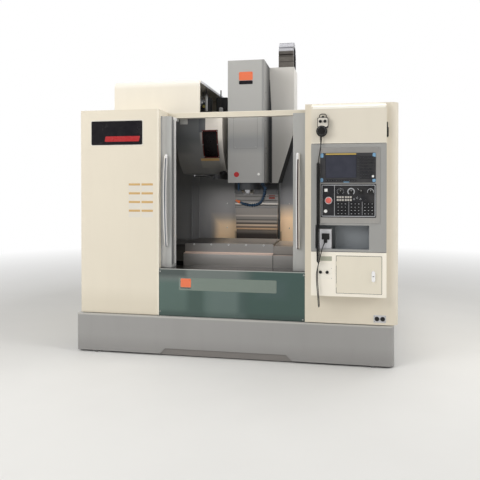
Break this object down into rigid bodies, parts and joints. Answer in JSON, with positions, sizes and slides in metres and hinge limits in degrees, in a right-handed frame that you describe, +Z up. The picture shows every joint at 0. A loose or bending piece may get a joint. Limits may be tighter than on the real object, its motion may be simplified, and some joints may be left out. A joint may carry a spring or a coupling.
{
  "type": "cnc machining center",
  "caption": "Vertical machining centre with wide enclosure, open sliding doors, side tool changer, three axes and a control console on the right.",
  "frame": {"origin": "middle of the bounding box on the floor", "axes": "+Z up, the door side faces -Y, +X to the right as seen by the operator"},
  "size_m": [2.588, 2.44, 2.8127],
  "materials": {
    "cream_paint": "semi-gloss powder coat",
    "grey_paint": "satin powder coat",
    "dark_cast": "painted casting",
    "black_paint": "satin",
    "stainless": "brushed and polished sheet",
    "ground_steel": "ground",
    "chrome": "polished",
    "black_plastic": "matt",
    "panel_plastic": "matt",
    "red_plastic": "gloss",
    "blue_plastic": "gloss",
    "smoked_acrylic": "gloss, see-through",
    "clear_glass": "clear",
    "black_rubber": "matt"
  },
  "bodies": {
    "machine": {"base_casting": "dark_cast", "levelling_feet": "ground_steel", "coolant_pan": "grey_paint", "column": "dark_cast", "left_enclosure": "cream_paint", "right_cabinet": "cream_paint", "inner_guards": "cream_paint", "crossbeam": "cream_paint", "front_apron": "stainless", "electrical_cabinet": "cream_paint", "console_housing": "cream_paint", "console_plate": "grey_paint", "control_backplate": "stainless", "display_unit": "panel_plastic", "operator_panel": "black_plastic", "pendant_body": "black_plastic", "pendant_cord_lead": "black_rubber", "pendant_cord_coil": "black_rubber", "magazine_cover": "cream_paint", "magazine_window": "smoked_acrylic", "arm_drive": "black_paint", "atc_hood": "cream_paint"},
    "saddle_unit": {"saddle": "dark_cast", "saddle_guard": "grey_paint"},
    "table_unit": {"table": "ground_steel"},
    "x_screw_unit": {"x_screw": "ground_steel"},
    "y_screw_unit": {"y_screw": "ground_steel"},
    "z_screw_unit": {"z_screw": "ground_steel"},
    "y_plates_outer": {"y_cover_outer": "ground_steel"},
    "y_plates_inner": {"y_cover_inner": "ground_steel"},
    "x_plates_outer": {"x_cover_outer": "ground_steel"},
    "x_plates_inner": {"x_cover_inner": "ground_steel"},
    "z_plate_lower": {"z_cover_lower": "ground_steel"},
    "z_plate_upper": {"z_cover_upper": "ground_steel"},
    "head_unit": {"head_casting": "dark_cast", "head_front_cover": "grey_paint", "head_side_cover": "grey_paint", "spindle_motor": "black_paint", "coolant_nozzles": "blue_plastic"},
    "spindle_unit": {"spindle": "ground_steel"},
    "chain_unit": {"drag_chain": "black_plastic"},
    "left_door_unit": {"left_door": "grey_paint", "left_door_window": "clear_glass", "left_door_handle": "chrome"},
    "right_door_unit": {"right_door": "grey_paint", "right_door_window": "clear_glass", "right_door_handle": "chrome"},
    "carousel_unit": {"tool_carousel": "black_paint"},
    "arm_unit": {"tool_arm": "black_paint"},
    "stop_unit": {"stop_button": "red_plastic"},
    "mode_unit": {"mode_knob": "black_plastic"},
    "rapid_unit": {"rapid_knob": "black_plastic"},
    "feed_unit": {"feed_knob": "black_plastic"},
    "speed_unit": {"spindle_knob": "black_plastic"},
    "power_on_unit": {"power_on_button": "black_plastic"},
    "power_off_unit": {"power_off_button": "black_plastic"},
    "compartment_unit": {"compartment_door": "cream_paint"},
    "latch_unit": {"compartment_latch": "chrome"},
    "side_latch_unit": {"side_latch": "black_plastic"},
    "dial_unit": {"pendant_dial": "black_plastic"}
  },
  "joints": [
    {"name": "saddle_slide", "type": "slide", "parent": "machine", "child": "saddle_unit", "axis": [0, 1, 0], "range_m": [-0.235, 0.205]},
    {"name": "table_slide", "type": "slide", "parent": "saddle_unit", "child": "table_unit", "axis": [1, 0, 0], "range_m": [-0.191, 0.459]},
    {"name": "head_slide", "type": "slide", "parent": "machine", "child": "head_unit", "axis": [0, 0, 1], "range_m": [-0.3, 0.2]},
    {"name": "spindle_turn", "type": "hinge", "parent": "head_unit", "child": "spindle_unit", "pos_m": [0.014, -0.255, 1.306], "axis": [0, 0, 1], "continuous": true},
    {"name": "x_screw_turn", "type": "hinge", "parent": "saddle_unit", "child": "x_screw_unit", "pos_m": [0.014, -0.247, 0.737], "axis": [1, 0, 0], "range_deg": [-5740, 13780]},
    {"name": "y_screw_turn", "type": "hinge", "parent": "machine", "child": "y_screw_unit", "pos_m": [0.014, -0.22, 0.56], "axis": [0, 1, 0], "range_deg": [-7060, 6160]},
    {"name": "z_screw_turn", "type": "hinge", "parent": "machine", "child": "z_screw_unit", "pos_m": [0.014, 0.282, 1.6], "axis": [0, 0, 1], "range_deg": [-9010, 6010]},
    {"name": "y_plates_outer_slide", "type": "slide", "parent": "machine", "child": "y_plates_outer", "axis": [0, 1, 0], "range_m": [-0.0793, 0.0693]},
    {"name": "y_plates_inner_slide", "type": "slide", "parent": "machine", "child": "y_plates_inner", "axis": [0, 1, 0], "range_m": [-0.1577, 0.1377]},
    {"name": "x_plates_outer_slide", "type": "slide", "parent": "saddle_unit", "child": "x_plates_outer", "axis": [1, 0, 0], "range_m": [-0.0647, 0.154]},
    {"name": "x_plates_inner_slide", "type": "slide", "parent": "saddle_unit", "child": "x_plates_inner", "axis": [1, 0, 0], "range_m": [-0.1283, 0.307]},
    {"name": "z_plate_lower_slide", "type": "slide", "parent": "machine", "child": "z_plate_lower", "axis": [0, 0, 1], "range_m": [-0.101, 0.0677]},
    {"name": "z_plate_upper_slide", "type": "slide", "parent": "machine", "child": "z_plate_upper", "axis": [0, 0, 1], "range_m": [-0.201, 0.1343]},
    {"name": "chain_roll", "type": "slide", "parent": "machine", "child": "chain_unit", "axis": [0, 0, 1], "range_m": [-0.151, 0.101]},
    {"name": "left_door_slide", "type": "slide", "parent": "machine", "child": "left_door_unit", "axis": [1, 0, 0], "range_m": [0, 0.5]},
    {"name": "right_door_slide", "type": "slide", "parent": "machine", "child": "right_door_unit", "axis": [-1, 0, 0], "range_m": [0, 0.5]},
    {"name": "carousel_turn", "type": "hinge", "parent": "machine", "child": "carousel_unit", "pos_m": [-0.56, 0.105, 1.91], "axis": [1, 0, 0], "continuous": true},
    {"name": "arm_turn", "type": "hinge", "parent": "machine", "child": "arm_unit", "pos_m": [-0.25, -0.12, 1.46], "axis": [0, 0, 1], "range_deg": [0, 10]},
    {"name": "stop_press", "type": "slide", "parent": "machine", "child": "stop_unit", "axis": [0, 1, 0], "range_m": [0, 0.006], "stiffness_N_per_m": 800},
    {"name": "mode_turn", "type": "hinge", "parent": "machine", "child": "mode_unit", "pos_m": [0.864, -1.1565, 1.331], "axis": [0, -1, 0], "range_deg": [-120, 120]},
    {"name": "rapid_turn", "type": "hinge", "parent": "machine", "child": "rapid_unit", "pos_m": [0.941, -1.1565, 1.331], "axis": [0, -1, 0], "range_deg": [-60, 60]},
    {"name": "feed_turn", "type": "hinge", "parent": "machine", "child": "feed_unit", "pos_m": [1.012, -1.1565, 1.331], "axis": [0, -1, 0], "range_deg": [-140, 140]},
    {"name": "speed_turn", "type": "hinge", "parent": "machine", "child": "speed_unit", "pos_m": [1.08, -1.1565, 1.331], "axis": [0, -1, 0], "range_deg": [-75, 75]},
    {"name": "power_on_press", "type": "slide", "parent": "machine", "child": "power_on_unit", "axis": [0, 1, 0], "range_m": [0, 0.004], "stiffness_N_per_m": 500},
    {"name": "power_off_press", "type": "slide", "parent": "machine", "child": "power_off_unit", "axis": [0, 1, 0], "range_m": [0, 0.004], "stiffness_N_per_m": 500},
    {"name": "compartment_swing", "type": "hinge", "parent": "machine", "child": "compartment_unit", "pos_m": [0.837, -1.1455, 0.718], "axis": [0, 0, -1], "range_deg": [0, 110]},
    {"name": "latch_turn", "type": "hinge", "parent": "compartment_unit", "child": "latch_unit", "pos_m": [1.102, -1.15, 0.711], "axis": [0, -1, 0], "range_deg": [0, 90]},
    {"name": "side_latch_swing", "type": "hinge", "parent": "machine", "child": "side_latch_unit", "pos_m": [1.2012, -1.082, 1.838], "axis": [0, -1, 0], "range_deg": [0, 60]},
    {"name": "dial_turn", "type": "hinge", "parent": "machine", "child": "dial_unit", "pos_m": [0.728, -1.184, 1.775], "axis": [0, -1, 0], "continuous": true}
  ],
  "couplings": [
    {"joint": "x_screw_turn", "follows": "table_slide", "rad_per_m": 523.6},
    {"joint": "y_screw_turn", "follows": "saddle_slide", "rad_per_m": 523.6},
    {"joint": "z_screw_turn", "follows": "head_slide", "rad_per_m": 523.6},
    {"joint": "y_plates_outer_slide", "follows": "saddle_slide", "ratio": 0.33333},
    {"joint": "x_plates_outer_slide", "follows": "table_slide", "ratio": 0.33333},
    {"joint": "z_plate_lower_slide", "follows": "head_slide", "ratio": 0.33333},
    {"joint": "y_plates_inner_slide", "follows": "saddle_slide", "ratio": 0.66667},
    {"joint": "x_plates_inner_slide", "follows": "table_slide", "ratio": 0.66667},
    {"joint": "z_plate_upper_slide", "follows": "head_slide", "ratio": 0.66667},
    {"joint": "chain_roll", "follows": "head_slide", "ratio": 0.5}
  ]
}
